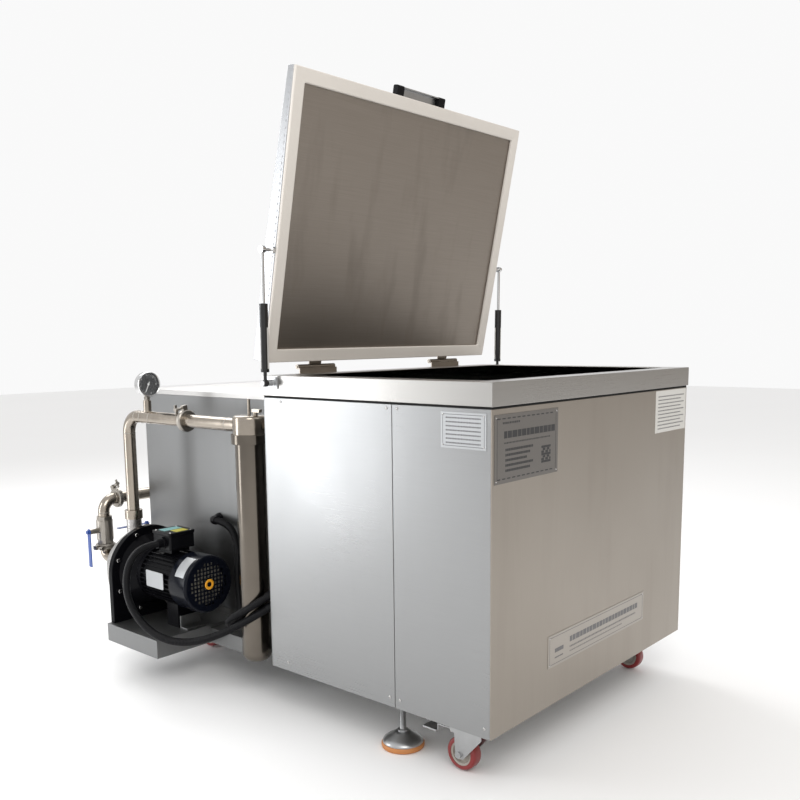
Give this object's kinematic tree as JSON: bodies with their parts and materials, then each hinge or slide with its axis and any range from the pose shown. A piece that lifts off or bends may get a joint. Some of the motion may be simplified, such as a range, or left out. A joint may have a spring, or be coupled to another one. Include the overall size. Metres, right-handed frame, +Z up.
{
  "type": "parts washer tank",
  "caption": "Stainless top-loading washing tank with a gas-strut lid, on casters and levelling feet, with a rear reservoir, pump unit, canister filter and pipework.",
  "frame": {"origin": "middle of the machine's footprint on the floor", "axes": "+Z up, the washing tank's front faces -Y, +X to the operator's right"},
  "size_m": [1.0964, 1.495, 1.5603],
  "materials": {
    "frame_steel": "satin stainless tube",
    "panel_steel": "brushed stainless sheet",
    "basin_steel": "satin stainless sheet",
    "liner_steel": "dull stainless sheet",
    "reservoir_steel": "satin stainless sheet",
    "polished_steel": "polished stainless",
    "zinc": "zinc plated",
    "bolt_steel": "bright screws",
    "black_paint": "semi-gloss black paint",
    "seal_cream": "soft cream silicone",
    "insulation": "mineral wool",
    "black_plastic": "matt black",
    "strut_black": "gloss black",
    "rod_chrome": "hard chrome",
    "tread_red": "polyurethane tread",
    "pad_orange": "orange rubber pad",
    "plate_grey": "printed plate",
    "transducer_metal": "cast",
    "heater_silicone": "silicone pad",
    "lever_blue": "blue dipped lever",
    "gauge_chrome": "chrome case",
    "needle_white": "painted",
    "cartridge_white": "pleated media",
    "conduit_black": "corrugated conduit",
    "motor_black": "black enamel"
  },
  "bodies": {
    "machine": {"wash_tank": "basin_steel", "rim_band": "panel_steel", "transducers": "transducer_metal", "heater_pads": "heater_silicone", "front_panel": "panel_steel", "left_front_panel": "panel_steel", "left_rear_panel": "panel_steel", "right_panel": "panel_steel", "rear_panel": "panel_steel", "bottom_panel": "panel_steel", "identification_plates": "plate_grey", "hinge_frame_leaves": "bolt_steel", "strut_brackets": "bolt_steel", "caster_plates": "zinc", "rear_caster_forks": "zinc", "base_frame": "frame_steel", "reservoir_tank": "reservoir_steel", "pump_plinth": "reservoir_steel", "pump_bracket": "black_paint", "pump_lantern": "polished_steel", "pump_volute": "polished_steel", "motor_housing": "motor_black", "fan_cover": "black_paint", "terminal_box": "black_plastic", "pipework": "polished_steel", "pipe_clamps": "polished_steel", "valve_bodies": "polished_steel", "pressure_gauge": "gauge_chrome", "filter_head": "polished_steel", "filter_bowl": "polished_steel", "filter_cartridge": "cartridge_white", "cable_glands": "black_plastic", "motor_conduit": "conduit_black", "sensor_conduit": "conduit_black", "fasteners": "bolt_steel"},
    "lid": {"lid_shell": "panel_steel", "lid_liner": "liner_steel", "lid_seal": "seal_cream", "lid_insulation": "insulation", "lid_handle": "black_plastic", "hinge_lid_leaves": "bolt_steel"},
    "strut_cylinders": {"strut_cylinders": "strut_black"},
    "strut_rods": {"strut_rods": "rod_chrome"},
    "left_caster": {"caster_fork_left": "zinc"},
    "right_caster": {"caster_fork_right": "zinc"},
    "front_left_wheel": {"caster_wheel_front_left": "tread_red"},
    "front_right_wheel": {"caster_wheel_front_right": "tread_red"},
    "rear_left_wheel": {"caster_wheel_rear_left": "tread_red"},
    "rear_right_wheel": {"caster_wheel_rear_right": "tread_red"},
    "left_pedal": {"brake_pedal_left": "zinc"},
    "right_pedal": {"brake_pedal_right": "zinc"},
    "foot_front_left": {"levelling_foot_front_left": "pad_orange"},
    "foot_front_right": {"levelling_foot_front_right": "pad_orange"},
    "foot_rear_left": {"levelling_foot_rear_left": "pad_orange"},
    "foot_rear_right": {"levelling_foot_rear_right": "pad_orange"},
    "reservoir_cover": {"reservoir_lid": "reservoir_steel"},
    "pump_rotor": {"pump_rotor": "bolt_steel"},
    "suction_lever": {"suction_valve_lever": "lever_blue"},
    "drain_lever": {"drain_valve_lever": "lever_blue"},
    "needle": {"gauge_needle": "needle_white"}
  },
  "joints": [
    {"name": "lid_hinge", "type": "hinge", "parent": "machine", "child": "lid", "pos_m": [0.0415, -0.0605, 0.864], "axis": [1, 0, 0], "range_deg": [0, 78.45]},
    {"name": "strut_pivot", "type": "hinge", "parent": "machine", "child": "strut_cylinders", "pos_m": [0.0415, -0.1115, 0.831], "axis": [1, 0, 0], "range_deg": [0, 80.84]},
    {"name": "strut_slide", "type": "slide", "parent": "strut_cylinders", "child": "strut_rods", "axis": [0, -0.0136, 0.9999], "range_m": [-0.07624, 0]},
    {"name": "left_caster_swivel", "type": "hinge", "parent": "machine", "child": "left_caster", "pos_m": [-0.3465, -0.6695, 0.117], "axis": [0, 0, 1], "continuous": true},
    {"name": "front_left_wheel_spin", "type": "hinge", "parent": "left_caster", "child": "front_left_wheel", "pos_m": [-0.3465, -0.6315, 0.0395], "axis": [1, 0, 0], "continuous": true},
    {"name": "left_brake", "type": "hinge", "parent": "left_caster", "child": "left_pedal", "pos_m": [-0.3465, -0.6125, 0.092], "axis": [1, 0, 0], "range_deg": [-12, 0]},
    {"name": "rear_left_wheel_spin", "type": "hinge", "parent": "machine", "child": "rear_left_wheel", "pos_m": [-0.2085, 0.4405, 0.0395], "axis": [1, 0, 0], "continuous": true},
    {"name": "right_caster_swivel", "type": "hinge", "parent": "machine", "child": "right_caster", "pos_m": [0.4295, -0.6695, 0.117], "axis": [0, 0, 1], "continuous": true},
    {"name": "front_right_wheel_spin", "type": "hinge", "parent": "right_caster", "child": "front_right_wheel", "pos_m": [0.4295, -0.6315, 0.0395], "axis": [1, 0, 0], "continuous": true},
    {"name": "right_brake", "type": "hinge", "parent": "right_caster", "child": "right_pedal", "pos_m": [0.4295, -0.6125, 0.092], "axis": [1, 0, 0], "range_deg": [-12, 0]},
    {"name": "rear_right_wheel_spin", "type": "hinge", "parent": "machine", "child": "rear_right_wheel", "pos_m": [0.2915, 0.4405, 0.0395], "axis": [1, 0, 0], "continuous": true},
    {"name": "foot_front_left_screw", "type": "slide", "parent": "machine", "child": "foot_front_left", "axis": [0, 0, 1], "range_m": [-0.012, 0]},
    {"name": "foot_front_right_screw", "type": "slide", "parent": "machine", "child": "foot_front_right", "axis": [0, 0, 1], "range_m": [-0.012, 0]},
    {"name": "foot_rear_left_screw", "type": "slide", "parent": "machine", "child": "foot_rear_left", "axis": [0, 0, 1], "range_m": [-0.012, 0]},
    {"name": "foot_rear_right_screw", "type": "slide", "parent": "machine", "child": "foot_rear_right", "axis": [0, 0, 1], "range_m": [-0.012, 0]},
    {"name": "reservoir_cover_lift", "type": "slide", "parent": "machine", "child": "reservoir_cover", "axis": [0, 0, 1], "range_m": [0, 0.06]},
    {"name": "pump_spin", "type": "hinge", "parent": "machine", "child": "pump_rotor", "pos_m": [-0.3885, 0.4765, 0.277], "axis": [0, 1, 0], "continuous": true},
    {"name": "suction_valve_turn", "type": "hinge", "parent": "machine", "child": "suction_lever", "pos_m": [-0.4405, 0.7175, 0.36], "axis": [1, 0, 0], "range_deg": [0, 90]},
    {"name": "drain_valve_turn", "type": "hinge", "parent": "machine", "child": "drain_lever", "pos_m": [-0.2465, 0.7085, 0.356], "axis": [0, 0, 1], "range_deg": [-90, 0]},
    {"name": "gauge_needle_turn", "type": "hinge", "parent": "machine", "child": "needle", "pos_m": [-0.3885, 0.4405, 0.812], "axis": [0, 1, 0], "range_deg": [0, 290]}
  ],
  "couplings": [
    {"joint": "strut_pivot", "follows": "lid_hinge", "ratio": 1.0299},
    {"joint": "strut_slide", "follows": "lid_hinge", "m_per_rad": -0.055538}
  ]
}
